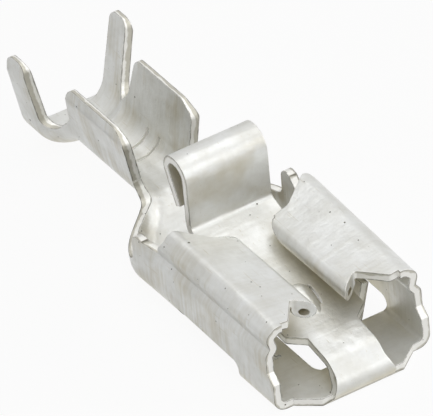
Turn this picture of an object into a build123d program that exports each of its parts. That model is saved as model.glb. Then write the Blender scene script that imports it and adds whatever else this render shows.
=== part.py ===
from build123d import *
import math
import os

# Locking female spade terminal, stamped and folded from one sheet.
# Millimetres, +Z up. While it is built, X = 0 is the mouth edge of the side walls,
# +X points out of the mouth, Y = 0 is the plane of symmetry and Z = 0 is the underside
# of the floor. At the end it is moved so that its origin is the middle of its footprint.

# Sheet
sheet = 0.38

# Receptacle box: floor, side walls and the rolls over them
box_width = 7.9
wall_length = 10.95
bend_radius = 0.62
roll_top_height = 4.02
crease_drop = 1.04
crease_height = roll_top_height - crease_drop
crease_depth = 0.27
roll_flank_height = 0.55
roll_flank_in = 0.1
roll_shoulder_in = 0.55
crease_start_drop = 0.34
crease_bend_radius = 0.26
shoulder_bend_radius = 0.42
roll_rear_rise = 0.5
roll_rear_flare = 0.15

# Curl that ends each roll
curl_centre_out = 1.16
curl_drop = 0.77
curl_centre_height = roll_top_height - curl_drop
curl_radius = 0.45
curl_bottom = curl_centre_height - curl_radius
curl_bore_radius = 0.19
curl_bore_drop = 0.14

# Edges of the walls and rolls along X
jog_set_back = 0.42
jog_low = 1.42
jog_high = 1.85
roll_front_set_back = 0.6
roll_front_step_from_side = 0.95
roll_front_slant_from_side = 1.35
roll_front_slant_to_side = 2.35
curl_front_set_back = 1.65
curl_front_lean = 0.35
roll_rear = 8.5
curl_rear = 7.55
curl_rear_low = 5.95
curl_rear_high = 7.45
curl_rear_cut_half_width = 1.7
roll_rear_slant_to_side = 2.05
notch_rear = 9.3
ear_rise = 0.28
ear_flare = 0.02
ear_root_drop = 0.78
ear_root_height = crease_height - ear_root_drop
notch_corner_radius = 0.15
roll_front_corner_radius = 0.2
roll_rear_corner_radius = 0.4
ear_corner_radius = 0.45
ear_blend_rear = 10.2
ear_blend_kink_drop = 0.42
ear_blend_lean = 0.22

# Openings in the floor and the flaps bent up from it
window_half_width = 1.2
window_front = 0.75
window_rear = 7.2
window_corner_radius = 0.7
cutout_front = 2.8
cutout_rear = 7.75
cutout_height = 1.0
cutout_corner_radius = 0.4
cutout_rise = 0.12
cutout_root = 1.8
flap_foot_out = 2.36
flap_gap = 0.7
flap_height = curl_bottom - flap_gap
flap_lean = 15.0
flap_front = 2.95
flap_rear = 7.6
flap_bend_radius = 0.15
flap_overlap = 0.3

# Nose, tongue and release lever
lip_reach = 0.8
lip_half_width = 2.05
lip_corner_out = 3.05
lip_root_radius = 0.25
lip_corner_radius = 0.15
nose_reach = 1.14
nose_foot_half_width = 1.55
nose_shoulder_height = 0.8
nose_neck_half_width = 1.25
nose_foot_overlap = 0.2
nose_foot_radius = 0.36
nose_front_lean = 0.14
nose_front_radius = 0.51
nose_crown_front = 0.06
nose_crown_share = 0.755
nose_crown_radius = 1.0
nose_foot_share = 0.234
nose_foot_side_radius = 0.3
nose_neck_share = 0.6
nose_neck_side_radius = 0.5
tongue_front = 1.4
tab_gap = 0.88
tongue_front_height = curl_bottom - tab_gap
tongue_shoulder = 2.0
tongue_half_width = 2.0
tongue_bend = 6.3
tongue_bend_gap = 0.34
tongue_bend_height = curl_bottom - tongue_bend_gap
tongue_bend_radius = 6.0
tongue_neck_radius = 0.2
tongue_shoulder_radius = 0.25
lever_face = 9.15
lever_foot_rise = 0.89
lever_foot_height = tongue_bend_height + lever_foot_rise
lever_foot_radius = 0.5
lever_height = 6.75
lever_rear = 11.3
lever_tip_back = 10.05
lever_tip_drop = 2.5
lever_tip_height = lever_height - lever_tip_drop
lever_half_width = 2.05
lever_widens_at = 8.0
lever_lean = 0.04
lever_top_radius = 0.75
lever_hook_radius = 0.6

# Locking bump on the tongue, lanced along both of its sides
bump_rear = 4.55
bump_front = 2.6
bump_radius = 0.65
bump_height = 0.33
bump_slit_width = 0.09
bump_run_out = 1.25
bump_end_share = 0.75
bump_slit_share = 0.75

# Wire barrel
wire_barrel_front = 14.6
wire_barrel_rear = 19.2
wire_barrel_bottom = 1.45
wire_barrel_top = 5.2
wire_barrel_radius = 1.35
wire_barrel_half_width = 1.42
wire_barrel_slope = 0.17
wire_barrel_top_cut = 0.85
wire_barrel_front_drop = 0.45
wire_barrel_corner_radius = 0.5
serration_width = 0.16
serration_depth = 0.1
serration_first = 16.9
serration_pitch = 0.9
serration_count = 2
serration_top = 2.5

# Insulation barrel
drop_front = 19.7
drop_rear = 21.6
grip_front = 21.2
grip_rear = 22.75
grip_bottom = 0.65
grip_top = 5.55
grip_radius = 1.7
grip_half_width = 2.06
grip_slope = 0.19
slit_low = 1.5
slit_high = 3.25
slit_run = 0.35
slit_corner_radius = 0.5
grip_taper = 0.1
grip_corner_radius = 0.5
drop_stations = 4
cutoff_tab_length = 0.3
cutoff_tab_height = 0.45

# Coined wing tips
wire_coin_height = 0.55
grip_coin_height = 0.8
coin_tip = 0.16

# Neck
neck_rear = 14.75
neck_front = 11.05
neck_wall_top = 1.65
neck_wall_rise = 0.9
neck_wall_run = 0.55
neck_wall_lift = 0.25
neck_corner_radius = 0.6
neck_stations = 6
box_rear_radius = 1.5
smallest_inner_radius = 0.1

# How far the cutting shapes reach past the sheet
side_reach = 6.0
beyond = 1.0


def turned(points, k):
    """Unit directions of the lines before and after corner k."""
    before = (Vector(*points[k]) - Vector(*points[k - 1])).normalized()
    after = (Vector(*points[k + 1]) - Vector(*points[k])).normalized()
    return before, after


def beside(points, shift):
    """The corners of an open line moved sideways to its left by shift."""
    moved = []
    for k in range(len(points)):
        here = Vector(*points[k])
        if k == 0:
            along = (Vector(*points[1]) - here).normalized()
            moved.append(here + Vector(-along.Y, along.X) * shift)
        elif k == len(points) - 1:
            along = (here - Vector(*points[k - 1])).normalized()
            moved.append(here + Vector(-along.Y, along.X) * shift)
        else:
            before, after = turned(points, k)
            bisector = Vector(-before.Y - after.Y, before.X + after.X)
            half_turn = before.get_angle(after) / 2
            reach = shift / math.cos(math.radians(half_turn))
            moved.append(here + bisector.normalized() * reach)
    return moved


def fitting(points, radii):
    """Corner radii of a closed outline, made smaller where two of them overfill a side."""
    count = len(points)
    sides = [Vector(*points[(k + 1) % count]) - Vector(*points[k]) for k in range(count)]
    half_turns = [math.radians(sides[k - 1].get_angle(sides[k])) / 2 for k in range(count)]
    tangents = [radii[k] * math.tan(half_turns[k]) for k in range(count)]
    shrink = [1.0] * count
    for k in range(count):
        after = (k + 1) % count
        filled = tangents[k] + tangents[after]
        if filled > 0.98 * sides[k].length:
            share = 0.98 * sides[k].length / filled
            shrink[k] = min(shrink[k], share)
            shrink[after] = min(shrink[after], share)
    return [radius * share for radius, share in zip(radii, shrink)]


def rounded(points, radii):
    """Closed outline with a radius at each corner."""
    return FilletPolyline(*points, radius=fitting(points, radii), close=True)


def bent_sheet(points, radii, thickness):
    """Face of a sheet that follows an open mid line with a bend radius at each corner."""
    half = thickness / 2
    bends = fitting(points, [0] + radii + [0])
    left_radii = []
    right_radii = []
    for k in range(1, len(points) - 1):
        before, after = turned(points, k)
        side = math.copysign(half, before.X * after.Y - before.Y * after.X)
        left_radii.append(max(round(bends[k] - side, 3), 0))
        right_radii.append(max(round(bends[k] + side, 3), 0))
    outline = beside(points, half) + beside(points, -half)[::-1]
    corner_radii = [0] + left_radii + [0, 0] + right_radii[::-1] + [0]
    return make_face(FilletPolyline(*outline, radius=corner_radii, close=True))


def across(points, radii, half_width):
    """Block with the given outline in X and Z, extruded to both sides of Y = 0."""
    outline = rounded(points, radii)
    return extrude(Plane.XZ * make_face(outline), half_width, both=True)


def upright(points, radii, low, high):
    """Block with the given outline in X and Y, from low to high in Z."""
    outline = rounded(points, radii)
    return extrude(Plane.XY.offset(low) * make_face(outline), high - low)


def both_sides(shape):
    """The shape together with its mirror image in Y = 0."""
    return shape + mirror(shape, about=Plane.XZ)


def box_section(rise, flare):
    """Section of half the box: floor, bend, wall, crease and roll down to its curl."""
    mid = sheet / 2
    wall = box_width / 2 - mid
    shoulder = wall - roll_shoulder_in + flare
    flank = wall - roll_flank_in + flare
    points = [
        (0, mid),
        (wall, mid),
        (wall, crease_height - crease_start_drop),
        (wall - crease_depth, crease_height),
        (flank, crease_height + roll_flank_height + rise / 2),
        (shoulder, roll_top_height - mid + rise),
        (curl_centre_out, curl_centre_height + curl_radius - mid),
    ]
    radii = [bend_radius - mid] + [crease_bend_radius] * 3 + [shoulder_bend_radius]
    return bent_sheet(points, radii, sheet)


def box_half():
    """Half of the box with its roll, which rises a little towards the rear."""
    front = Plane.YZ * box_section(0, 0)
    rear = Plane.YZ.offset(-notch_rear) * box_section(roll_rear_rise, roll_rear_flare)
    shell = loft([front, rear], ruled=True)
    ring = Pos(curl_centre_out, curl_centre_height) * Circle(curl_radius)
    bore = Pos(curl_centre_out, curl_centre_height - curl_bore_drop) * Circle(curl_bore_radius)
    curl = extrude(Plane.YZ * ring, -notch_rear)
    hollow = extrude(Plane.YZ * bore, -notch_rear)
    return shell + curl - hollow


def roll_trim():
    """What is cut from each roll: its slanted front, its slanted rear and the rear notch."""
    inner_wall = box_width / 2 - sheet - crease_depth
    low = curl_centre_height - 2 * curl_radius
    front_step = box_width / 2 - roll_front_step_from_side
    front = upright(
        [
            (-roll_front_set_back, front_step),
            (-roll_front_set_back, box_width / 2 - roll_front_slant_from_side),
            (-curl_front_set_back - curl_front_lean, curl_centre_out + curl_radius),
            (-curl_front_set_back + curl_front_lean, curl_centre_out - curl_radius),
            (beyond, curl_centre_out - curl_radius - beyond),
            (beyond, front_step),
        ],
        [0, roll_front_corner_radius, roll_front_corner_radius, 0, 0, 0],
        low,
        side_reach,
    )
    rear = upright(
        [
            (-roll_rear, inner_wall),
            (-curl_rear, box_width / 2 - roll_rear_slant_to_side),
            (-curl_rear, -beyond),
            (-notch_rear - beyond, -beyond),
            (-notch_rear - beyond, inner_wall),
        ],
        [0, roll_rear_corner_radius, 0, 0, 0],
        low,
        side_reach,
    )
    notch = across(
        [
            (-notch_rear, crease_height),
            (-roll_rear, roll_top_height),
            (-roll_rear, side_reach),
            (-notch_rear - 3 * beyond, side_reach),
            (-notch_rear - 3 * beyond, crease_height),
        ],
        [notch_corner_radius, roll_rear_corner_radius, 0, 0, 0],
        side_reach,
    )
    under_curl = across(
        [
            (-curl_rear_low, curl_bottom),
            (-curl_rear_high, curl_centre_height + curl_radius),
            (-notch_rear - beyond, curl_centre_height + curl_radius),
            (-notch_rear - beyond, curl_bottom),
        ],
        [0] * 4,
        curl_rear_cut_half_width,
    )
    return both_sides(front) + both_sides(rear) + notch + under_curl


def mouth_trim():
    """What is cut from the front of the walls above the step in their edge."""
    return across(
        [
            (0, jog_low),
            (-jog_set_back, jog_high),
            (-jog_set_back, side_reach),
            (beyond, side_reach),
            (beyond, jog_low),
        ],
        [0] * 5,
        side_reach,
    )


def under_rear():
    """What the rear channel replaces below the rear end of the box."""
    return across(
        [
            (-cutout_rear, -beyond),
            (-cutout_rear, ear_root_height),
            (-notch_rear - beyond, ear_root_height),
            (-notch_rear - beyond, -beyond),
        ],
        [0] * 4,
        side_reach,
    )


def channel_outline(bottom, top, half_width, slope, radius, inset):
    """Filled U outline in Y and Z, moved inwards by inset to give the inner face."""
    foot = half_width - inset
    low = bottom + inset
    head = foot + slope * (top - low)
    corner = max(radius - inset, smallest_inner_radius)
    points = [(-head, top), (-foot, low), (foot, low), (head, top)]
    return make_face(rounded(points, [0, corner, corner, 0]))


def channel(stations, inset, lift):
    """Solid lofted through U outlines, each station being x and its five sizes."""
    faces = []
    for x, bottom, top, half_width, slope, radius in stations:
        outline = channel_outline(bottom, top + lift, half_width, slope, radius, inset)
        faces.append(Plane.YZ.offset(x) * outline)
    return loft(faces, ruled=len(faces) == 2)


def eased(a, b, t):
    """Value between a and b that starts and ends without a slope."""
    return a + (b - a) * t * t * (3 - 2 * t)


def eased_stations(x_start, start, x_end, end, steps):
    """Stations whose sizes pass smoothly from those of start to those of end."""
    stations = []
    for k in range(steps + 1):
        t = k / steps
        sizes = [eased(a, b, t) for a, b in zip(start, end)]
        stations.append((x_start + (x_end - x_start) * t, *sizes))
    return stations


def rear_channel():
    """Rear of the box, neck and both barrels as one thick channel before trimming."""
    top = side_reach
    box = (0, top, box_width / 2, 0, box_rear_radius)
    mouth = (0, top, box_width / 2, ear_flare, box_rear_radius)
    wire = (wire_barrel_bottom, top, wire_barrel_half_width, wire_barrel_slope, wire_barrel_radius)
    grip = (grip_bottom, top, grip_half_width, grip_slope, grip_radius)
    runs = [
        [(-cutout_rear, *box), (-notch_rear, *box)],
        [(-notch_rear, *box), (-neck_front, *mouth)],
        eased_stations(-neck_front, mouth, -neck_rear, wire, neck_stations),
        [(-neck_rear, *wire), (-drop_front, *wire)],
        eased_stations(-drop_front, wire, -drop_rear, grip, drop_stations),
        [(-drop_rear, *grip), (-grip_rear - cutoff_tab_length, *grip)],
    ]
    outer = Part() + [channel(run, 0, 0) for run in runs]
    inner = Part() + [channel(run, sheet, beyond) for run in runs]
    return outer - inner


def ear_blend():
    """Upper wall behind the rear notch, in which the crease of the box runs out."""
    share = (ear_blend_rear - notch_rear) / (wall_length - notch_rear)
    stations = [
        (notch_rear, crease_height, ear_blend_lean, 0),
        (ear_blend_rear, crease_height + ear_rise * share, 0, ear_flare * share),
    ]
    faces = []
    for x, top, lean, flare in stations:
        kink = crease_height - ear_blend_kink_drop
        outer = [
            (box_width / 2 + flare * ear_root_height, ear_root_height),
            (box_width / 2 + flare * kink, kink),
            (box_width / 2 + flare * top - lean, top),
        ]
        inner = [(y - sheet, z) for y, z in reversed(outer)]
        faces.append(Plane.YZ.offset(-x) * make_face(Polyline(*outer, *inner, close=True)))
    return loft(faces, ruled=True)


def ear_blend_zone():
    """Block that the blended walls replace."""
    return across(
        [
            (-notch_rear, ear_root_height),
            (-notch_rear, side_reach),
            (-ear_blend_rear, side_reach),
            (-ear_blend_rear, ear_root_height),
        ],
        [0] * 4,
        side_reach,
    )


def rear_outline():
    """Side view that the rear channel is trimmed to: ears, neck walls and both wings."""
    return across(
        [
            (-cutout_rear, -beyond),
            (-cutout_rear, ear_root_height),
            (-notch_rear, ear_root_height),
            (-notch_rear, crease_height),
            (-wall_length, crease_height + ear_rise),
            (-wall_length, neck_wall_top),
            (-wire_barrel_front + neck_wall_run, neck_wall_top + neck_wall_lift),
            (-wire_barrel_front, neck_wall_top + neck_wall_rise),
            (-wire_barrel_front, wire_barrel_top - wire_barrel_front_drop),
            (-wire_barrel_front - wire_barrel_top_cut, wire_barrel_top),
            (-wire_barrel_rear, wire_barrel_top),
            (-wire_barrel_rear - slit_run, slit_high),
            (-grip_front, slit_low),
            (-grip_front - grip_taper, grip_top),
            (-grip_rear + grip_taper, grip_top),
            (-grip_rear, grip_bottom + cutoff_tab_height),
            (-grip_rear - cutoff_tab_length, grip_bottom + cutoff_tab_height),
            (-grip_rear - cutoff_tab_length, -beyond),
        ],
        [0] * 4
        + [ear_corner_radius, ear_corner_radius]
        + [neck_corner_radius] * 2
        + [wire_barrel_corner_radius] * 3
        + [slit_corner_radius] * 2
        + [grip_corner_radius] * 2
        + [0] * 3,
        side_reach,
    )


def coined_tips(x_front, x_rear, bottom, top, half_width, slope, height):
    """What is pressed away from the outer side of a pair of wings along their top edge."""
    foot = half_width + slope * (top - height - bottom)
    tip = half_width + slope * (top - bottom) - sheet + coin_tip
    wedge = make_face(
        Polyline(
            (foot, top - height),
            (tip, top),
            (tip, top + beyond),
            (side_reach, top + beyond),
            (side_reach, top - height),
            close=True,
        )
    )
    return both_sides(extrude(Plane.YZ.offset(-x_rear) * wedge, x_rear - x_front))


def serrations():
    """Two grooves pressed across the inner face of the wire barrel."""
    sizes = (
        wire_barrel_bottom,
        serration_top,
        wire_barrel_half_width,
        wire_barrel_slope,
        wire_barrel_radius,
    )
    grooves = Part()
    for k in range(serration_count):
        x = -serration_first - k * serration_pitch
        ends = [(x - serration_width / 2, *sizes), (x + serration_width / 2, *sizes)]
        grooves += channel(ends, sheet - serration_depth, 0)
    return grooves


def floor_lip():
    """Front of the floor, which reaches out of the mouth on both sides of the nose."""
    return upright(
        [
            (-window_front, -lip_corner_out),
            (0, -lip_corner_out),
            (lip_reach, -lip_half_width),
            (lip_reach, lip_half_width),
            (0, lip_corner_out),
            (-window_front, lip_corner_out),
        ],
        [0, lip_root_radius, lip_corner_radius, lip_corner_radius, lip_root_radius, 0],
        0,
        sheet,
    )


def floor_openings():
    """Window under the tongue and the two cut-outs through floor and wall."""
    window = upright(
        [
            (-window_front, -window_half_width),
            (-window_front, window_half_width),
            (-window_rear, window_half_width),
            (-window_rear, -window_half_width),
        ],
        [window_corner_radius] * 4,
        -beyond,
        2 * sheet,
    )
    in_plan = upright(
        [
            (-cutout_front, cutout_root),
            (-cutout_rear, cutout_root),
            (-cutout_rear, side_reach),
            (-cutout_front, side_reach),
        ],
        [0] * 4,
        -beyond,
        side_reach,
    )
    in_side_view = across(
        [
            (-cutout_front, -beyond),
            (-cutout_front, cutout_height),
            (-cutout_rear, cutout_height + cutout_rise),
            (-cutout_rear, -beyond),
        ],
        [0, cutout_corner_radius, 0, 0],
        side_reach,
    )
    return window + both_sides(in_plan & in_side_view)


def flap():
    """Flap bent up from the floor at the inner edge of a cut-out."""
    mid = sheet / 2
    foot = flap_foot_out - mid
    lean = math.tan(math.radians(flap_lean))
    points = [
        (cutout_root - flap_overlap, mid),
        (foot, mid),
        (foot + lean * (flap_height - mid), flap_height),
    ]
    face = bent_sheet(points, [flap_bend_radius + mid], sheet)
    return extrude(Plane.YZ.offset(-flap_rear) * face, flap_rear - flap_front)


def strip_line():
    """Corners of the mid line of nose, tongue and lever, with their bend radii."""
    mid = sheet / 2
    rise = tongue_front_height
    points = [
        (-window_front - nose_foot_overlap, mid),
        (nose_reach - mid, mid),
        (nose_reach - nose_front_lean - mid, nose_shoulder_height),
        (nose_crown_front, nose_crown_share * rise),
        (-tongue_front, rise - mid),
        (-tongue_bend, tongue_bend_height - mid),
        (-lever_face - mid, lever_foot_height),
        (-lever_face - mid + lever_lean, lever_height - mid),
        (-lever_rear + mid, lever_height - mid),
        (-lever_tip_back, lever_tip_height),
    ]
    nose_radii = [nose_foot_radius, nose_front_radius, nose_crown_radius]
    tongue_radii = [tongue_bend_radius, tongue_bend_radius]
    lever_radii = [lever_foot_radius, lever_top_radius, lever_hook_radius]
    radii = nose_radii + tongue_radii + lever_radii
    return points, radii


def strip_plan():
    """Plan that the strip is trimmed to: narrow nose, shoulders and wide tongue."""
    half = [
        (lip_reach + beyond, nose_foot_half_width + beyond),
        (0, nose_foot_half_width + beyond),
        (0, nose_neck_half_width),
        (-tongue_front, nose_neck_half_width),
        (-tongue_shoulder, tongue_half_width),
        (-lever_widens_at, tongue_half_width),
        (-lever_widens_at - lever_half_width / 4, lever_half_width),
        (-lever_rear - beyond, lever_half_width),
    ]
    other = [(x, -y) for x, y in reversed(half)]
    radii = [0, 0, 0, tongue_neck_radius, tongue_shoulder_radius, 0, 0, 0]
    return upright(half + other, radii + radii[::-1], -beyond, side_reach + 2 * beyond)


def nose_sides():
    """Front view that the nose is trimmed to: it narrows above its foot."""
    half = [
        (nose_foot_half_width, -beyond),
        (nose_foot_half_width, nose_foot_share * tongue_front_height),
        (nose_neck_half_width, nose_neck_share * tongue_front_height),
        (nose_neck_half_width, side_reach),
    ]
    other = [(-y, z) for y, z in reversed(half)]
    radii = [0, nose_foot_side_radius, nose_neck_side_radius, 0]
    outline = rounded(half + other, radii + radii[::-1])
    front = extrude(Plane.YZ.offset(-tongue_front) * make_face(outline), tongue_front + 2 * beyond)
    room = Box(2 * side_reach, 2 * side_reach, 4 * side_reach)
    return front + Pos(-tongue_front - side_reach) * room


def spindle(radius, end_radius, length):
    """Ball that runs out into a rounded nose along +X, as one turned solid."""
    side = math.radians(135)
    on_ball = (radius * math.cos(side), radius * math.sin(side))
    profile = [
        ThreePointArc((-radius, 0), on_ball, (0, radius)),
        TangentArc((0, radius), (length, end_radius), tangent=(1, 0)),
        Line((length, end_radius), (length, 0)),
        Line((length, 0), (-radius, 0)),
    ]
    return revolve(make_face(profile), Axis.X)


def with_bump(tongue):
    """The tongue with its locking bump pressed up between two slits."""
    sunk = bump_radius - bump_height
    ball_back = bump_rear - math.sqrt(bump_radius**2 - sunk**2)
    slope = (tongue_bend_height - tongue_front_height) / (tongue_bend - tongue_front)
    top = tongue_front_height + slope * (ball_back - tongue_front)
    place = Pos(-ball_back, 0, top) * Rot(0, math.degrees(math.atan(slope)), 0)
    length = (ball_back - bump_front) * bump_run_out
    end_radius = sunk * bump_end_share
    body = Pos(0, 0, -sunk) * spindle(bump_radius, end_radius, length)
    around = Pos(0, 0, -sunk) * spindle(
        bump_radius + bump_slit_width, end_radius + bump_slit_width, length
    )
    hollow = Pos(0, 0, -sheet) * body
    on_base = (Align.CENTER, Align.CENTER, Align.MIN)
    slit_zone = Box(length * bump_slit_share, 2 * side_reach, 2 * beyond, align=on_base)
    slits = (around - body) & (Pos(length / 4, 0, -sheet - beyond) * slit_zone)
    room = Box(2 * side_reach, 2 * side_reach, 2 * beyond, align=on_base)
    raised = body & (Pos(0, 0, -sunk) * room)
    return tongue + place * raised - place * hollow - place * slits


def strip():
    """Nose, tongue and release lever as one bent strip."""
    points, radii = strip_line()
    face = bent_sheet(points, radii, sheet)
    band = extrude(Plane.XZ * face, lever_half_width + beyond, both=True)
    return with_bump(band & strip_plan() & nose_sides())


def main():
    """The whole terminal, moved to the middle of its footprint."""
    box = both_sides(box_half()) - roll_trim() - mouth_trim() - under_rear()
    rear = (rear_channel() - ear_blend_zone() + both_sides(ear_blend())) & rear_outline()
    rear -= coined_tips(
        wire_barrel_front - beyond / 2,
        wire_barrel_rear + beyond / 2,
        wire_barrel_bottom,
        wire_barrel_top,
        wire_barrel_half_width,
        wire_barrel_slope,
        wire_coin_height,
    )
    rear -= coined_tips(
        grip_front - beyond / 2,
        grip_rear + beyond / 2,
        grip_bottom,
        grip_top,
        grip_half_width,
        grip_slope,
        grip_coin_height,
    )
    rear -= serrations()
    shell = box + rear + floor_lip() - floor_openings()
    terminal = shell + both_sides(flap()) + strip()
    extent = terminal.bounding_box()
    return Pos(-extent.center().X, 0, -extent.min.Z) * terminal


if __name__ == "__main__":
    os.makedirs("parts", exist_ok=True)
    export_step(main(), "parts/terminal.step")
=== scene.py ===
import math

import bmesh
import bpy
import numpy as np
from bpy.props import FloatProperty, FloatVectorProperty, PointerProperty
from mathutils import Matrix, Vector
from mathutils.bvhtree import BVHTree


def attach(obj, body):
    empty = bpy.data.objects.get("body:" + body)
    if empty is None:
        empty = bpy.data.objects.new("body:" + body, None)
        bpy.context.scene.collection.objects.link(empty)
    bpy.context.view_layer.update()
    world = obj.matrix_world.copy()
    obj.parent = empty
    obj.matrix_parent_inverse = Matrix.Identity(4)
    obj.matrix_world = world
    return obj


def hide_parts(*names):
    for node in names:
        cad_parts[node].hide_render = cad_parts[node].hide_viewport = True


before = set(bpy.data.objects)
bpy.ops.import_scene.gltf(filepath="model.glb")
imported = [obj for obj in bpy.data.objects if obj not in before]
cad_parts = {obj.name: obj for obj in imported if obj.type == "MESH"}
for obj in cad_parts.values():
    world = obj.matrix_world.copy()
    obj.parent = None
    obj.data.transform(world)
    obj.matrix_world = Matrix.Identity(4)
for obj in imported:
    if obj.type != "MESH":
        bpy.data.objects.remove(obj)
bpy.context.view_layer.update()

bl_info = {
    "name": "Locking spade terminal",
    "version": (1, 0, 0),
    "blender": (4, 5, 0),
    "location": "3D View > Sidebar > Terminal",
    "description": "Dresses the folded sheet of a locking female spade terminal and lights it",
    "category": "Object",
}

NODE = "terminal"
MM = 0.001

# Places on the part, in millimetres. Middles of the two pressed grooves along the part,
# half their width, their top, and how far they reach from the middle.
GROOVES = (-5.8994, -6.7994)
GROOVE_REACH = 0.081
GROOVE_TOP = 3.2
GROOVE_SIDE = 2.2
# the curled inner edges of the two rolls: from and to, outwards and upwards
CURL_SIDE = (0.45, 1.75)
CURL_HEIGHT = (2.6, 3.95)
# height of the middle line of the part
MIDDLE_HEIGHT = 2.0

# Finding the cut edges. Faces that turn less than this from a neighbour lie in one patch.
PATCH_TURN = math.radians(8)
# rolled faces that turn less than this from a neighbour lie on one side of the sheet
BEND_TURN = math.radians(35)
# a cut end of a curl faces along the part, with at least this share of its normal
END_FACING = 0.6
# a line into the metal is followed for this many thicknesses, from just under the face
FAR_SIDE = 1.25
START_DEPTH = 0.001 * MM
# corners closer than the first are one, and edges shorter than the second are dropped
WELD = 0.0005 * MM
SHORTEST = 0.0002 * MM
# least length and area to divide by
TINY = 1e-12
TINY_AREA = 1e-15


def linear(hex_colour):
    """Linear red, green, blue and alpha of an sRGB hex colour: each channel c becomes
    c / 12.92 up to 0.04045 and ((c + 0.055) / 1.055) to the power 2.4 above it."""
    channels = [int(hex_colour[k : k + 2], 16) / 255 for k in (0, 2, 4)]
    flat = [c / 12.92 if c <= 0.04045 else ((c + 0.055) / 1.055) ** 2.4 for c in channels]
    return (*flat, 1.0)


def add(tree, kind, inputs=None, **settings):
    """Adds one shader node, sets its properties, then fills or links its inputs."""
    made = tree.nodes.new(kind)
    for name, value in settings.items():
        setattr(made, name, value)
    for name, value in (inputs or {}).items():
        if isinstance(value, bpy.types.NodeSocket):
            tree.links.new(value, made.inputs[name])
        else:
            made.inputs[name].default_value = value
    return made


# ---------------------------------------------------------------- sizes and colours


class SheetSizes(bpy.types.PropertyGroup):
    """Sizes of the folded sheet that the dressing needs."""

    thickness: FloatProperty(
        name="Sheet thickness",
        description="Thickness of the plated sheet, used to tell its faces from its cut edges",
        default=0.38 * MM,
        subtype="DISTANCE",
        unit="LENGTH",
        precision=5,
    )
    edge_round: FloatProperty(
        name="Edge rounding",
        description="Width of the rounding that tumbling and plating leave on cut edges",
        default=0.06 * MM,
        subtype="DISTANCE",
        unit="LENGTH",
        precision=5,
    )
    sharp_angle: FloatProperty(
        name="Sharp edge angle",
        description="Two faces that meet at more than this angle meet in a cut edge",
        default=math.radians(30),
        subtype="ANGLE",
        unit="ROTATION",
    )


class PlateColours(bpy.types.PropertyGroup):
    """Colours of the tin plate and of its cut edges."""

    tin: FloatVectorProperty(
        name="Tin",
        description="Clean tin plate",
        default=linear("EAEBE9"),
        subtype="COLOR",
        size=4,
        min=0,
        max=1,
    )
    tin_dull: FloatVectorProperty(
        name="Dull tin",
        description="Tin plate where handling has dulled it",
        default=linear("D2D1CA"),
        subtype="COLOR",
        size=4,
        min=0,
        max=1,
    )
    # also the painted shade of the dark rims along the cuts
    pit_and_rim_shade: FloatVectorProperty(
        name="Pit",
        description="Bottom of a small pit in the plate",
        default=linear("5E5A4C"),
        subtype="COLOR",
        size=4,
        min=0,
        max=1,
    )
    # painted shade: this warm colour is laid in recesses, where shade falls
    recess_shade_colour: FloatVectorProperty(
        name="Thin tin",
        description="Tin plate thin enough to let the brass through a little",
        default=linear("E6E0CB"),
        subtype="COLOR",
        size=4,
        min=0,
        max=1,
    )
    # also painted shade: the film is laid mostly on faces that don't look up
    film_and_shade: FloatVectorProperty(
        name="Brown film",
        description="Thin plate that has tarnished",
        default=linear("C2B99F"),
        subtype="COLOR",
        size=4,
        min=0,
        max=1,
    )
    # also a painted highlight on rubbed edges and in the pressed grooves
    burnish_and_highlight: FloatVectorProperty(
        name="Burnished cut",
        description="Smooth band that the punch leaves on a cut edge",
        default=linear("F4F3EE"),
        subtype="COLOR",
        size=4,
        min=0,
        max=1,
    )
    fracture: FloatVectorProperty(
        name="Fractured cut",
        description="Rough torn band below the burnished one",
        default=linear("C6C3B7"),
        subtype="COLOR",
        size=4,
        min=0,
        max=1,
    )


class StudioSetup(bpy.types.PropertyGroup):
    """Where the camera stands and how bright the studio is."""

    azimuth: FloatProperty(
        name="Camera azimuth",
        description="Direction of the camera round the part",
        default=math.radians(60.856),
        subtype="ANGLE",
        unit="ROTATION",
    )
    elevation: FloatProperty(
        name="Camera elevation",
        description="Height of the camera above the horizon",
        default=math.radians(36.226),
        subtype="ANGLE",
        unit="ROTATION",
    )
    roll: FloatProperty(
        name="Camera roll",
        description="Turn of the camera about its own axis",
        default=math.radians(-5.707),
        subtype="ANGLE",
        unit="ROTATION",
    )
    distance: FloatProperty(
        name="Camera distance",
        description="Distance from the camera to the middle of the picture",
        default=0.5442,
        subtype="DISTANCE",
        unit="LENGTH",
    )
    lens: FloatProperty(
        name="Lens",
        description="Focal length for a 36 mm sensor",
        default=1067.9,
        subtype="DISTANCE_CAMERA",
        unit="CAMERA",
        max=5000,
    )
    sky: FloatProperty(
        name="Sky level",
        description="Brightness of the surround where it lights the part",
        default=0.08,
    )
    key: FloatProperty(
        name="Overhead softbox",
        description="Brightness of the softbox above the part, which the others follow",
        default=1.04,
    )


# ---------------------------------------------------------------- folded sheet


def welded_copy(source, name):
    """New mesh from a CAD node: its loose triangles are joined where their corners meet."""
    shape = bmesh.new()
    shape.from_mesh(source.data)
    bmesh.ops.remove_doubles(shape, verts=shape.verts, dist=WELD)
    bmesh.ops.dissolve_degenerate(shape, edges=shape.edges, dist=SHORTEST)
    bmesh.ops.triangulate(shape, faces=shape.faces)
    mesh = bpy.data.meshes.new(name)
    shape.to_mesh(mesh)
    shape.free()
    return mesh


def read(items, name, width=1, kind=float):
    """Values of one property of all items, as an array with width columns."""
    found = np.empty(len(items) * width, kind)
    items.foreach_get(name, found)
    return found.reshape(-1, width) if width > 1 else found


def unit(vectors):
    """Each vector divided by its own length, which counts as at least TINY."""
    return vectors / np.maximum(np.linalg.norm(vectors, axis=-1), TINY)[..., None]


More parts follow.
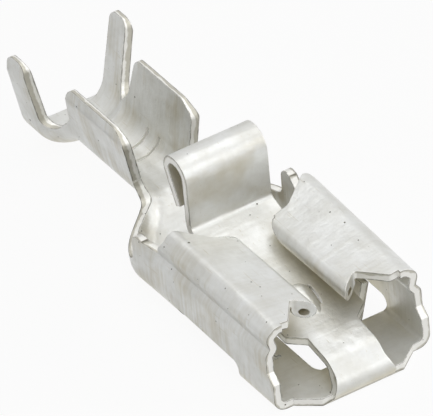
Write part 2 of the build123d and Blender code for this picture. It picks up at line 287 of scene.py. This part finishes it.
def corner_normals(mesh, sharp_angle):
    """Normal at each face corner: the normals of the faces round its vertex that lean
    less than the sharp angle from its own face are added, each times its area and its
    corner angle, and the sum is made one long. Flat faces so stay flat beside bends."""
    faces = read(mesh.polygons, "vertices", 3, int)
    places = read(mesh.vertices, "co", 3)[faces] / MM
    cross = np.cross(places[:, 1] - places[:, 0], places[:, 2] - places[:, 0])
    area = np.linalg.norm(cross, axis=1)
    own = np.repeat(unit(cross), 3, axis=0)
    ahead = unit(np.roll(places, -1, axis=1) - places)
    behind = unit(np.roll(places, 1, axis=1) - places)
    angle = np.arccos(np.clip((ahead * behind).sum(axis=2), -1, 1))
    pull = (area[:, None] * angle).ravel()[:, None] * own
    # pairs of corners that share a vertex: each corner here, with each one there
    order = np.argsort(faces.ravel(), kind="stable")
    vertex = faces.ravel()[order]
    _, first, amount = np.unique(vertex, return_index=True, return_counts=True)
    group = np.repeat(np.arange(len(first)), amount)
    partners = amount[group]
    here = np.repeat(np.arange(len(vertex)), partners)
    step = np.arange(len(here)) - np.repeat(np.cumsum(partners) - partners, partners)
    there = np.repeat(first[group], partners) + step
    near = (own[order[here]] * own[order[there]]).sum(axis=1) > math.cos(sharp_angle)
    total = np.zeros_like(own)
    np.add.at(total, order[here[near]], pull[order[there[near]]])
    return unit(total)


def neighbours(mesh):
    """Faces that share an edge, as two arrays of face numbers: the face corners are
    sorted by the edge they start, so the two faces of an edge stand side by side."""
    owner = np.repeat(np.arange(len(mesh.polygons)), 3)
    edge = read(mesh.loops, "edge_index", kind=int)
    order = np.argsort(edge, kind="stable")
    same = edge[order][1:] == edge[order][:-1]
    return owner[order][:-1][same], owner[order][1:][same]


def regions(count, first, second):
    """Label of each face: faces in a pair take the lower of their two labels until
    none changes, so each connected region ends with one label."""
    label = np.arange(count)
    while True:
        lowest = np.minimum(label[first], label[second])
        fresh = label.copy()
        np.minimum.at(fresh, first, lowest)
        np.minimum.at(fresh, second, lowest)
        fresh = fresh[fresh]
        if np.array_equal(fresh, label):
            return label
        label = fresh


def in_curls(centres):
    """True for each place, in millimetres, in the curled inner edges of the two rolls."""
    reach = np.abs(centres[:, 1])
    height = centres[:, 2]
    beside = (reach > CURL_SIDE[0]) & (reach < CURL_SIDE[1])
    return beside & (height > CURL_HEIGHT[0]) & (height < CURL_HEIGHT[1])


def in_grooves(centres):
    """True for each place, in millimetres, in the two grooves of the wire barrel."""
    found = np.zeros(len(centres), bool)
    for middle in GROOVES:
        found |= np.abs(centres[:, 0] - middle) < GROOVE_REACH
    return found & (centres[:, 2] < GROOVE_TOP) & (np.abs(centres[:, 1]) < GROOVE_SIDE)


def face_opposite(mesh, thickness):
    """For each face, the face that a straight line into the metal from its middle meets
    within FAR_SIDE thicknesses, or -1 where it meets none."""
    centres = read(mesh.polygons, "center", 3)
    normals = read(mesh.polygons, "normal", 3)
    corners = read(mesh.vertices, "co", 3)
    tree = BVHTree.FromPolygons(corners.tolist(), [list(p.vertices) for p in mesh.polygons])
    starts = (centres - normals * START_DEPTH).tolist()
    limit = FAR_SIDE * thickness
    ways = (-normals).tolist()
    met = [tree.ray_cast(start, way, limit)[2] for start, way in zip(starts, ways)]
    return np.array([-1 if face is None else face for face in met])


def sheared_faces(mesh, opposite):
    """1 for each face on a cut edge of the sheet: a line into the metal from a rolled
    face leaves it after one thickness, and from a cut face it doesn't. Each patch of
    faces that lie in one plane or bend takes the answer of most of its area. In the
    curls only the ends, which face along the part, are cut, and grooves are pressed in."""
    centres = read(mesh.polygons, "center", 3) / MM
    normals = read(mesh.polygons, "normal", 3)
    area = read(mesh.polygons, "area")
    cut = (opposite < 0).astype(float)
    first, second = neighbours(mesh)
    flush = (normals[first] * normals[second]).sum(axis=1) > math.cos(PATCH_TURN)
    label = regions(len(cut), first[flush], second[flush])
    cut_area = np.bincount(label, cut * area, len(cut))
    share = cut_area / np.maximum(np.bincount(label, area, len(cut)), TINY_AREA)
    cut = (share[label] > 0.5).astype(float)
    cut[in_curls(centres) & (np.abs(normals[:, 0]) < END_FACING)] = 0
    cut[in_grooves(centres)] = 0
    return cut


def across_sheet(mesh, cut, opposite):
    """Place across the thickness of each vertex, 0 on the inner rolled side and 1 on the
    outer one, and 1 for each face that reaches from one side to the other. Rolled faces
    that share an edge and meet in a bend form one region. A region is outer where it
    faces away from the middle line of the part, on average over its area, more than the
    regions opposite it do. The curls are left out."""
    centres = read(mesh.polygons, "center", 3) / MM
    normals = read(mesh.polygons, "normal", 3)
    area = read(mesh.polygons, "area")
    count = len(cut)
    rolled = (cut < 0.5) & ~in_curls(centres)
    first, second = neighbours(mesh)
    flush = (normals[first] * normals[second]).sum(axis=1) > math.cos(BEND_TURN)
    keep = rolled[first] & rolled[second] & flush
    label = regions(count, first[keep], second[keep])
    above = centres[:, 2] - MIDDLE_HEIGHT
    away = (centres[:, 1] * normals[:, 1] + above * normals[:, 2]) * area
    total = np.maximum(np.bincount(label, area, count), TINY_AREA)
    away = np.bincount(label, away, count) / total
    paired = rolled & (opposite >= 0)
    facing = np.where(paired, away[label[opposite]], 0) * area
    facing = np.bincount(label, facing, count) / total
    outer = rolled & (away[label] > facing[label])
    vertex = read(mesh.polygons, "vertices", 3, int)
    across = np.zeros(len(mesh.vertices))
    across[vertex[outer]] = 1.0
    return across, across[vertex].max(axis=1) - across[vertex].min(axis=1)


class TERMINAL_OT_folded_sheet(bpy.types.Operator):
    """Dresses the folded sheet: rounded cut edges and tin plate over brass."""

    bl_idname = "terminal.folded_sheet"
    bl_label = "Folded sheet"

    def execute(self, context):
        sizes = context.scene.terminal_sheet
        mesh = welded_copy(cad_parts[NODE], "folded_sheet")
        opposite = face_opposite(mesh, sizes.thickness)
        cut = sheared_faces(mesh, opposite)
        if not cut.any():
            raise RuntimeError("no cut edges were found on the sheet")
        across, spanning = across_sheet(mesh, cut, opposite)
        # what the material reads: the name, what it is held by and its values
        marks = (
            ("cut_edge", "FACE", cut),
            ("groove", "FACE", in_grooves(read(mesh.polygons, "center", 3) / MM)),
            ("across", "POINT", across),
            ("spanning", "FACE", spanning),
        )
        for name, holder, values in marks:
            mark = mesh.attributes.new(name, "FLOAT", holder)
            mark.data.foreach_set("value", values.astype(np.float32))
        mesh.polygons.foreach_set("use_smooth", np.ones(len(mesh.polygons), bool))
        mesh.normals_split_custom_set(corner_normals(mesh, sizes.sharp_angle).tolist())
        piece = bpy.data.objects.new("folded_sheet", mesh)
        context.scene.collection.objects.link(piece)
        mesh.materials.append(tin_plate(context.scene.terminal_plate, sizes.edge_round))
        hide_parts(NODE)
        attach(piece, "root")
        return {"FINISHED"}


# ---------------------------------------------------------------- tin plate

# How each place is stretched before a pattern is read there, and how it is turned, in
# radians. Flow lines of rolling run across the part about 0.15 mm apart, and scratches
# run on a slant.
FLOW_STRETCH = (6.5, 0.35, 0.35)
SCRATCH_STRETCH = (0.6, 12.0, 12.0)
SCRATCH_TURN = (0.3, 0.5, 0.6)

# Noise patterns: where each is read, its features per millimetre and its detail. The
# grain of the plate is really a few hundredths of a millimetre, too fine to show, and is
# drawn as coarse as it needs to be.
NOISES = {
    "cloud": ("plain", 0.7, 4.0),
    "mottle": ("plain", 3.2, 3.0),
    "lines": ("flow", 1.0, 3.0),
    "grain": ("plain", 14.0, 2.0),
    "scratch": ("slant", 1.0, 1.0),
    "film_and_shade": ("plain", 0.45, 3.0),
    "tear": ("plain", 1.8, 3.0),
    "rim_shade": ("plain", 2.5, 3.0),
}

# How each value is stretched: what goes from the first number to the second comes out
# from the third to the fourth.
RANGE = ("From Min", "From Max", "To Min", "To Max")
SPANS = {
    "cloud": (0.35, 0.68, 0.0, 1.0),
    "mottle": (0.3, 0.7, 0.0, 1.0),
    "lines": (0.3, 0.7, 0.0, 1.0),
    # only the peaks of this noise are scratches
    "scratch": (0.7, 0.76, 0.0, 1.0),
    # brownish film in patches
    "film_and_shade": (0.54, 0.8, 0.0, 0.7),
    # Z part of the normal: faces that look up take little of the film, so the faces that don't
    # carry it as painted shade
    "side_shade": (0.3, 0.95, 1.0, 0.2),
    # open share of the space over a place: recesses take a warm painted shade
    "recess_shade": (0.65, 0.2, 0.0, 0.9),
    # cosine of the turn from the flat normal to the rounded one
    "wear_and_highlight": (0.995, 0.9, 0.0, 1.0),
    # millimetres along the part: the barrels' cuts are torn deeper than the mouth's
    "deeper": (0.0, -4.0, -0.3, 0.02),
    "torn": (0.82, 0.98, 0.0, 1.0),
    "rim_shade": (0.51, 0.6, 0.0, 0.85),
    "torn_rough": (0.0, 1.0, 0.2, 0.28),
    # metallic of the sheet, matched to its soft sheen, and of the matt pressed grooves
    "metallic": (0.0, 1.0, 0.5, 0.1),
}
SPANS = {name: dict(zip(RANGE, ends)) for name, ends in SPANS.items()}
# noises that are stretched as soon as they are made
STRETCHED_NOISES = ("cloud", "mottle", "lines", "scratch")

# What adds up to each property: a start, and each pattern times its factor. The relief
# is in millimetres.
SUMS = {
    "dull": (-0.12, {"cloud": 0.55, "lines": 0.14, "mottle": 0.25}),
    "rough": (0.26, {"cloud": 0.1, "lines": 0.08, "mottle": 0.06}),
    "relief": (
        0.0,
        {
            "grain": 0.0016,
            "lines": 0.004,
            "mottle": 0.007,
            "cloud": 0.02,
            "pits": -0.02,
            "scratch": -0.003,
        },
    ),
}

# pits up to 0.1 mm and 0.2 mm across: cells per millimetre, radius in millimetres and
# the share of cells that have none
PITS = ((3.0, 0.05, 0.55), (1.1, 0.1, 0.7))
# share of a pit's radius over which its wall falls
PIT_WALL = 0.4
# how much the flow lines break up the film, and how strongly a scratch shows
FILM_IN_LINES = 0.12
SCRATCH_SHARE = 0.35
# how far the recess cast looks for walls, in millimetres
RECESS_LOOK = 2.5
# the rubbed band, partly wear and partly a painted highlight, is this many times as wide as the
# rounding, and this strong
WEAR_AND_HIGHLIGHT_WIDTH = 2.0
WEAR_AND_HIGHLIGHT_SHARE = 0.6
# how unevenly the torn band starts, and how unevenly the dark rim of painted shade is broken
TEAR_NOISE = 0.9
RIM_SHADE_NOISE = 0.3
# roughness that the pressed grooves have over the rest
GROOVE_ROUGH = 0.4
# rays per shading point that look for walls and for edges
RECESS_SAMPLES = 8
ROUND_SAMPLES = 6


def pits(tree, place, per_mm, radius, chance):
    """1 in round pits and 0 outside: one pit in each cell one over per_mm wide, of up
    to the given radius in millimetres, where the cell's random number passes chance."""
    cells = add(
        tree, "ShaderNodeTexVoronoi", {"Vector": place, "Scale": per_mm, "Randomness": 1.0}
    )
    lot = add(tree, "ShaderNodeSeparateColor", {0: cells.outputs["Color"]})
    ends = dict(zip(RANGE, (chance, 1.0, 0.0, radius * per_mm)))
    widest = add(tree, "ShaderNodeMapRange", {"Value": lot.outputs[0], **ends})
    fall = add(
        tree,
        "ShaderNodeMath",
        {0: widest.outputs[0], 1: cells.outputs["Distance"]},
        operation="SUBTRACT",
    )
    ends = dict(zip(RANGE, (0.0, PIT_WALL * radius * per_mm, 0.0, 1.0)))
    return add(tree, "ShaderNodeMapRange", {"Value": fall.outputs[0], **ends}).outputs[0]


def plate_patterns(tree, plain):
    """Every pattern of the plate by its name, read at places in millimetres: first each
    noise, four of them stretched, then the pits, then the sums of them."""
    flow = add(tree, "ShaderNodeMapping", {"Vector": plain, "Scale": FLOW_STRETCH})
    slant = add(
        tree,
        "ShaderNodeMapping",
        {"Vector": plain, "Rotation": SCRATCH_TURN, "Scale": SCRATCH_STRETCH},
    )
    places = {"plain": plain, "flow": flow.outputs[0], "slant": slant.outputs[0]}
    pattern = {}
    for name, (place, per_mm, detail) in NOISES.items():
        inputs = {"Vector": places[place], "Scale": per_mm, "Detail": detail}
        pattern[name] = add(tree, "ShaderNodeTexNoise", inputs).outputs["Fac"]
    for name in STRETCHED_NOISES:
        inputs = {"Value": pattern[name], **SPANS[name]}
        pattern[name] = add(tree, "ShaderNodeMapRange", inputs).outputs[0]
    small, large = (pits(tree, plain, *kind) for kind in PITS)
    either = add(tree, "ShaderNodeMath", {0: small, 1: large}, operation="MAXIMUM")
    pattern["pits"] = either.outputs[0]
    for name, (total, parts) in SUMS.items():
        for part, factor in parts.items():
            inputs = {0: pattern[part], 1: factor, 2: total}
            total = add(tree, "ShaderNodeMath", inputs, operation="MULTIPLY_ADD").outputs[0]
        pattern[name] = total
    return pattern


def film_and_shade_share(tree, pattern, flat):
    """Share of the brown film and of painted shade: its noise with a little of the flow lines
    added, in patches, times a share that falls as the face looks up, so the film shades the faces
    that don't."""
    inputs = {0: pattern["lines"], 1: FILM_IN_LINES, 2: pattern["film_and_shade"]}
    film_and_shade = add(tree, "ShaderNodeMath", inputs, operation="MULTIPLY_ADD")
    film_and_shade = add(tree, "ShaderNodeMapRange", {"Value": film_and_shade.outputs[0], **SPANS["film_and_shade"]})
    facing = add(tree, "ShaderNodeSeparateXYZ", {0: flat})
    side_shade = add(tree, "ShaderNodeMapRange", {"Value": facing.outputs["Z"], **SPANS["side_shade"]})
    inputs = {0: film_and_shade.outputs[0], 1: side_shade.outputs[0]}
    return add(tree, "ShaderNodeMath", inputs, operation="MULTIPLY").outputs[0]


def wear_and_highlight_share(tree, mottle, flat, edge_round):
    """1 where an edge is rubbed bright, partly wear and partly a painted highlight: how far the
    normal, rounded over twice the edge's own rounding, turns from the flat one, times the mottle."""
    wide = add(
        tree, "ShaderNodeBevel", {"Radius": WEAR_AND_HIGHLIGHT_WIDTH * edge_round}, samples=ROUND_SAMPLES
    )
    inputs = {0: wide.outputs[0], 1: flat}
    turned = add(tree, "ShaderNodeVectorMath", inputs, operation="DOT_PRODUCT")
    inputs = {"Value": turned.outputs["Value"], **SPANS["wear_and_highlight"]}
    wear_and_highlight = add(tree, "ShaderNodeMapRange", inputs)
    inputs = {0: wear_and_highlight.outputs[0], 1: mottle}
    return add(tree, "ShaderNodeMath", inputs, operation="MULTIPLY").outputs[0]


def cut_bands(tree, pattern, plain, across, spanning):
    """Shares of the torn band and of the dark rim on a cut; the rim is painted shade. Torn: the
    place across the sheet plus noise, plus a shift along the part. Rim: the distance from the
    middle of the sheet plus noise, on the faces that reach from side to side."""
    along = add(tree, "ShaderNodeSeparateXYZ", {0: plain})
    deeper = add(tree, "ShaderNodeMapRange", {"Value": along.outputs["X"], **SPANS["deeper"]})
    inputs = {0: pattern["tear"], 1: TEAR_NOISE, 2: across}
    tear = add(tree, "ShaderNodeMath", inputs, operation="MULTIPLY_ADD")
    inputs = {0: tear.outputs[0], 1: deeper.outputs[0]}
    tear = add(tree, "ShaderNodeMath", inputs, operation="ADD")
    torn = add(tree, "ShaderNodeMapRange", {"Value": tear.outputs[0], **SPANS["torn"]})
    middle = add(tree, "ShaderNodeMath", {0: across, 1: 0.5}, operation="SUBTRACT")
    beside = add(tree, "ShaderNodeMath", {0: middle.outputs[0]}, operation="ABSOLUTE")
    inputs = {0: pattern["rim_shade"], 1: RIM_SHADE_NOISE, 2: beside.outputs[0]}
    rim_shade = add(tree, "ShaderNodeMath", inputs, operation="MULTIPLY_ADD")
    rim_shade = add(tree, "ShaderNodeMapRange", {"Value": rim_shade.outputs[0], **SPANS["rim_shade"]})
    inputs = {0: rim_shade.outputs[0], 1: spanning}
    rim_shade = add(tree, "ShaderNodeMath", inputs, operation="MULTIPLY")
    return torn.outputs[0], rim_shade.outputs[0]


def tin_plate(colours, edge_round):
    """Material of electroplated matt tin on rolled brass sheet. The eye gets a soft satin sheen,
    flow lines left by rolling, cloudy dull patches, a few dark pits and fine scratches. Painted
    shade darkens recesses, faces that don't look up and the dark rims of the cuts; edges are
    rubbed bright, partly wear and partly a painted highlight; the grooves take a painted
    highlight, and cuts have a torn band."""
    made = bpy.data.materials.new("tin plate on rolled brass")
    made.use_nodes = True
    tree = made.node_tree
    tree.nodes.clear()
    inputs = {0: add(tree, "ShaderNodeTexCoord").outputs["Object"], "Scale": 1 / MM}
    plain = add(tree, "ShaderNodeVectorMath", inputs, operation="SCALE").outputs[0]
    flat = add(tree, "ShaderNodeNewGeometry").outputs["Normal"]
    mark = {
        name: add(tree, "ShaderNodeAttribute", attribute_name=name).outputs["Fac"]
        for name in ("cut_edge", "groove", "across", "spanning")
    }
    pattern = plate_patterns(tree, plain)
    # tarnish in patches, kept off faces that look up: partly painted shade
    film_and_shade = film_and_shade_share(tree, pattern, flat)
    wear_and_highlight = wear_and_highlight_share(tree, pattern["mottle"], flat, edge_round)
    torn, rim_shade = cut_bands(tree, pattern, plain, mark["across"], mark["spanning"])
    # painted shade: recesses, found by ambient occlusion, are darkened to a warm colour where
    # shade falls
    enclosed = add(
        tree,
        "ShaderNodeAmbientOcclusion",
        {"Distance": RECESS_LOOK * MM},
        samples=RECESS_SAMPLES,
    )
    recess_shade = add(tree, "ShaderNodeMapRange", {"Value": enclosed.outputs["AO"], **SPANS["recess_shade"]})
    inputs = {0: pattern["scratch"], 1: SCRATCH_SHARE}
    scratched = add(tree, "ShaderNodeMath", inputs, operation="MULTIPLY")
    # painted highlight along the edges, partly wear: the rubbed share takes the bright burnish
    # colour
    edge_highlight = add(tree, "ShaderNodeMath", {0: wear_and_highlight, 1: WEAR_AND_HIGHLIGHT_SHARE}, operation="MULTIPLY")

    # each coat over the last: its share and its colour, first on the cuts, then on all
    edge = colours.burnish_and_highlight
    # the dark rim is painted shade where the cut meets the faces
    for share, coat in ((torn, colours.fracture), (rim_shade, colours.pit_and_rim_shade)):
        inputs = {0: share, 6: edge, 7: coat}
        mixed = add(tree, "ShaderNodeMix", inputs, data_type="RGBA", clamp_factor=True)
        edge = mixed.outputs[2]
    coats = (
        (pattern["dull"], colours.tin_dull),
        (recess_shade.outputs[0], colours.recess_shade_colour),
        (film_and_shade, colours.film_and_shade),
        (scratched.outputs[0], colours.film_and_shade),
        (mark["cut_edge"], edge),
        (edge_highlight.outputs[0], colours.burnish_and_highlight),
        # painted highlight: the pressed grooves take the bright burnish colour in place of the
        # highlights on their edges
        (mark["groove"], colours.burnish_and_highlight),
        (pattern["pits"], colours.pit_and_rim_shade),
    )
    colour = colours.tin
    for share, coat in coats:
        inputs = {0: share, 6: colour, 7: coat}
        mixed = add(tree, "ShaderNodeMix", inputs, data_type="RGBA", clamp_factor=True)
        colour = mixed.outputs[2]

    torn_rough = add(tree, "ShaderNodeMapRange", {"Value": torn, **SPANS["torn_rough"]})
    inputs = {0: wear_and_highlight, 2: pattern["rough"], 3: torn_rough.outputs[0]}
    rough = add(tree, "ShaderNodeMix", inputs, data_type="FLOAT", clamp_factor=True)
    inputs = {0: mark["groove"], 1: GROOVE_ROUGH, 2: rough.outputs[0]}
    rough = add(tree, "ShaderNodeMath", inputs, operation="MULTIPLY_ADD")
    metallic = add(tree, "ShaderNodeMapRange", {"Value": mark["groove"], **SPANS["metallic"]})

    rounded = add(tree, "ShaderNodeBevel", {"Radius": edge_round}, samples=ROUND_SAMPLES)
    bump = add(
        tree,
        "ShaderNodeBump",
        {
            "Height": pattern["relief"],
            "Distance": MM,
            "Strength": 1.0,
            "Normal": rounded.outputs[0],
        },
    )
    metal = add(
        tree,
        "ShaderNodeBsdfPrincipled",
        {
            "Base Color": colour,
            "Metallic": metallic.outputs[0],
            "Roughness": rough.outputs[0],
            "Normal": bump.outputs[0],
        },
    )
    add(tree, "ShaderNodeOutputMaterial", {"Surface": metal.outputs[0]})
    return made


# ---------------------------------------------------------------- studio

# each softbox: its place and its width in metres, and its brightness beside the overhead one
SOFTBOXES = {
    "overhead_softbox": ((-0.03, 0.02, 0.3), 0.3, 1.0),
    "right_softbox": ((0.17, 0.306, 0.13), 0.3, 1.9),
    "front_softbox": ((0.2, -0.112, 0.36), 0.2, 1.9),
    "mouth_softbox": ((0.3, 0.02, 0.2), 0.25, 0.8),
}
# share of the floor's even white in rays that show it; the rest keeps the part's shadow
FLOOR_WHITE = 0.93
# half the floor's width, in metres
FLOOR_REACH = 1.5
# end of the mouth along the part, and from there the middle of the picture along the
# camera's right and up, in millimetres
MOUTH_END = 12.4506
PICTURE_MIDDLE = (-6.592, 7.92)
# width of the camera's sensor in millimetres, and the range that it sees in metres
SENSOR = 36
CLIP = (0.01, 10)


def background_rays(tree):
    """1 for rays that show the background itself: seen, mirrored or let through."""
    seen = add(tree, "ShaderNodeLightPath")
    direct = add(
        tree,
        "ShaderNodeMath",
        {0: seen.outputs["Is Camera Ray"], 1: seen.outputs["Is Glossy Ray"]},
        operation="MAXIMUM",
    )
    return add(
        tree,
        "ShaderNodeMath",
        {0: direct.outputs[0], 1: seen.outputs["Is Transmission Ray"]},
        operation="MAXIMUM",
    )


def studio_floor():
    """Pale floor that renders white to the camera and in reflections, and keeps a soft
    share of the part's shadow."""
    made = bpy.data.materials.new("white paper floor")
    made.use_nodes = True
    tree = made.node_tree
    tree.nodes.clear()
    paper = add(tree, "ShaderNodeBsdfDiffuse", {"Color": linear("F4F4F2")})
    glow = add(tree, "ShaderNodeEmission", {"Color": linear("FFFFFF"), "Strength": 1.0})
    direct = background_rays(tree)
    inputs = {0: direct.outputs[0], 1: FLOOR_WHITE}
    share = add(tree, "ShaderNodeMath", inputs, operation="MULTIPLY")
    both = add(
        tree,
        "ShaderNodeMixShader",
        {0: share.outputs[0], 1: paper.outputs[0], 2: glow.outputs[0]},
    )
    add(tree, "ShaderNodeOutputMaterial", {"Surface": both.outputs[0]})
    return made


def softbox(name, place, width, level):
    """Square lamp that looks at the part's middle from its place, at an even brightness:
    its power is the level times the area times pi."""
    lamp = bpy.data.lights.new(name, "AREA")
    lamp.shape = "RECTANGLE"
    lamp.size = width
    lamp.size_y = width
    lamp.energy = level * width * width * math.pi
    holder = bpy.data.objects.new(name, lamp)
    bpy.context.scene.collection.objects.link(holder)
    holder.location = place
    holder.rotation_mode = "QUATERNION"
    holder.rotation_quaternion = (-Vector(place)).to_track_quat("-Z", "Y")


class TERMINAL_OT_studio(bpy.types.Operator):
    """Sets the pale floor, the soft lamps, the white surround and the camera."""

    bl_idname = "terminal.studio"
    bl_label = "Studio"

    def execute(self, context):
        setup = context.scene.terminal_studio
        scene = context.scene
        scene.view_settings.view_transform = "Standard"

        mesh = bpy.data.meshes.new("studio_floor")
        far = FLOOR_REACH
        mesh.from_pydata(
            [(-far, -far, 0), (far, -far, 0), (far, far, 0), (-far, far, 0)], [], [(0, 1, 2, 3)]
        )
        mesh.materials.append(studio_floor())
        floor = bpy.data.objects.new("studio_floor", mesh)
        scene.collection.objects.link(floor)

        world = bpy.data.worlds.new("white surround")
        world.use_nodes = True
        tree = world.node_tree
        tree.nodes.clear()
        seen = background_rays(tree)
        level = add(
            tree,
            "ShaderNodeMapRange",
            {"Value": seen.outputs[0], "To Min": setup.sky, "To Max": 1.0},
        )
        sky = add(
            tree,
            "ShaderNodeBackground",
            {"Color": linear("FFFFFF"), "Strength": level.outputs[0]},
        )
        add(tree, "ShaderNodeOutputWorld", {"Surface": sky.outputs[0]})
        scene.world = world

        for name, (place, width, share) in SOFTBOXES.items():
            softbox(name, place, width, setup.key * share)

        # the camera's own axes: back from the part, right and up, then rolled about back
        back = Vector(
            (
                math.sin(setup.azimuth) * math.cos(setup.elevation),
                -math.cos(setup.azimuth) * math.cos(setup.elevation),
                math.sin(setup.elevation),
            )
        )
        right = Vector((math.cos(setup.azimuth), math.sin(setup.azimuth), 0))
        up = back.cross(right)
        cosine = math.cos(setup.roll)
        sine = math.sin(setup.roll)
        camera_right = right * cosine + up * sine
        camera_up = up * cosine - right * sine
        aim = Vector((MOUTH_END * MM, 0, 0))
        aim += camera_right * (PICTURE_MIDDLE[0] * MM) + camera_up * (PICTURE_MIDDLE[1] * MM)
        lens = bpy.data.cameras.new("camera")
        lens.lens = setup.lens
        lens.sensor_width = SENSOR
        lens.clip_start, lens.clip_end = CLIP
        camera = bpy.data.objects.new("camera", lens)
        scene.collection.objects.link(camera)
        turn = Matrix((camera_right, camera_up, back)).transposed().to_4x4()
        camera.matrix_world = Matrix.Translation(aim + back * setup.distance) @ turn
        scene.camera = camera
        return {"FINISHED"}


class TERMINAL_PT_panel(bpy.types.Panel):
    """Lists the sizes, the colours and the steps."""

    bl_idname = "TERMINAL_PT_panel"
    bl_label = "Spade terminal"
    bl_space_type = "VIEW_3D"
    bl_region_type = "UI"
    bl_category = "Terminal"

    def draw(self, context):
        scene = context.scene
        for group in (scene.terminal_sheet, scene.terminal_plate, scene.terminal_studio):
            box = self.layout.box()
            for name in group.__annotations__:
                box.prop(group, name)
        self.layout.operator(TERMINAL_OT_folded_sheet.bl_idname)
        self.layout.operator(TERMINAL_OT_studio.bl_idname)


CLASSES = (
    SheetSizes,
    PlateColours,
    StudioSetup,
    TERMINAL_OT_folded_sheet,
    TERMINAL_OT_studio,
    TERMINAL_PT_panel,
)


def register():
    """Adds the classes and their settings to Blender."""
    for each in CLASSES:
        bpy.utils.register_class(each)
    bpy.types.Scene.terminal_sheet = PointerProperty(type=SheetSizes)
    bpy.types.Scene.terminal_plate = PointerProperty(type=PlateColours)
    bpy.types.Scene.terminal_studio = PointerProperty(type=StudioSetup)


def unregister():
    """Takes the settings and the classes out again."""
    del bpy.types.Scene.terminal_studio
    del bpy.types.Scene.terminal_plate
    del bpy.types.Scene.terminal_sheet
    for each in reversed(CLASSES):
        bpy.utils.unregister_class(each)


def main():
    register()
    bpy.ops.terminal.folded_sheet()
    bpy.ops.terminal.studio()


if __name__ == "__main__":
    main()
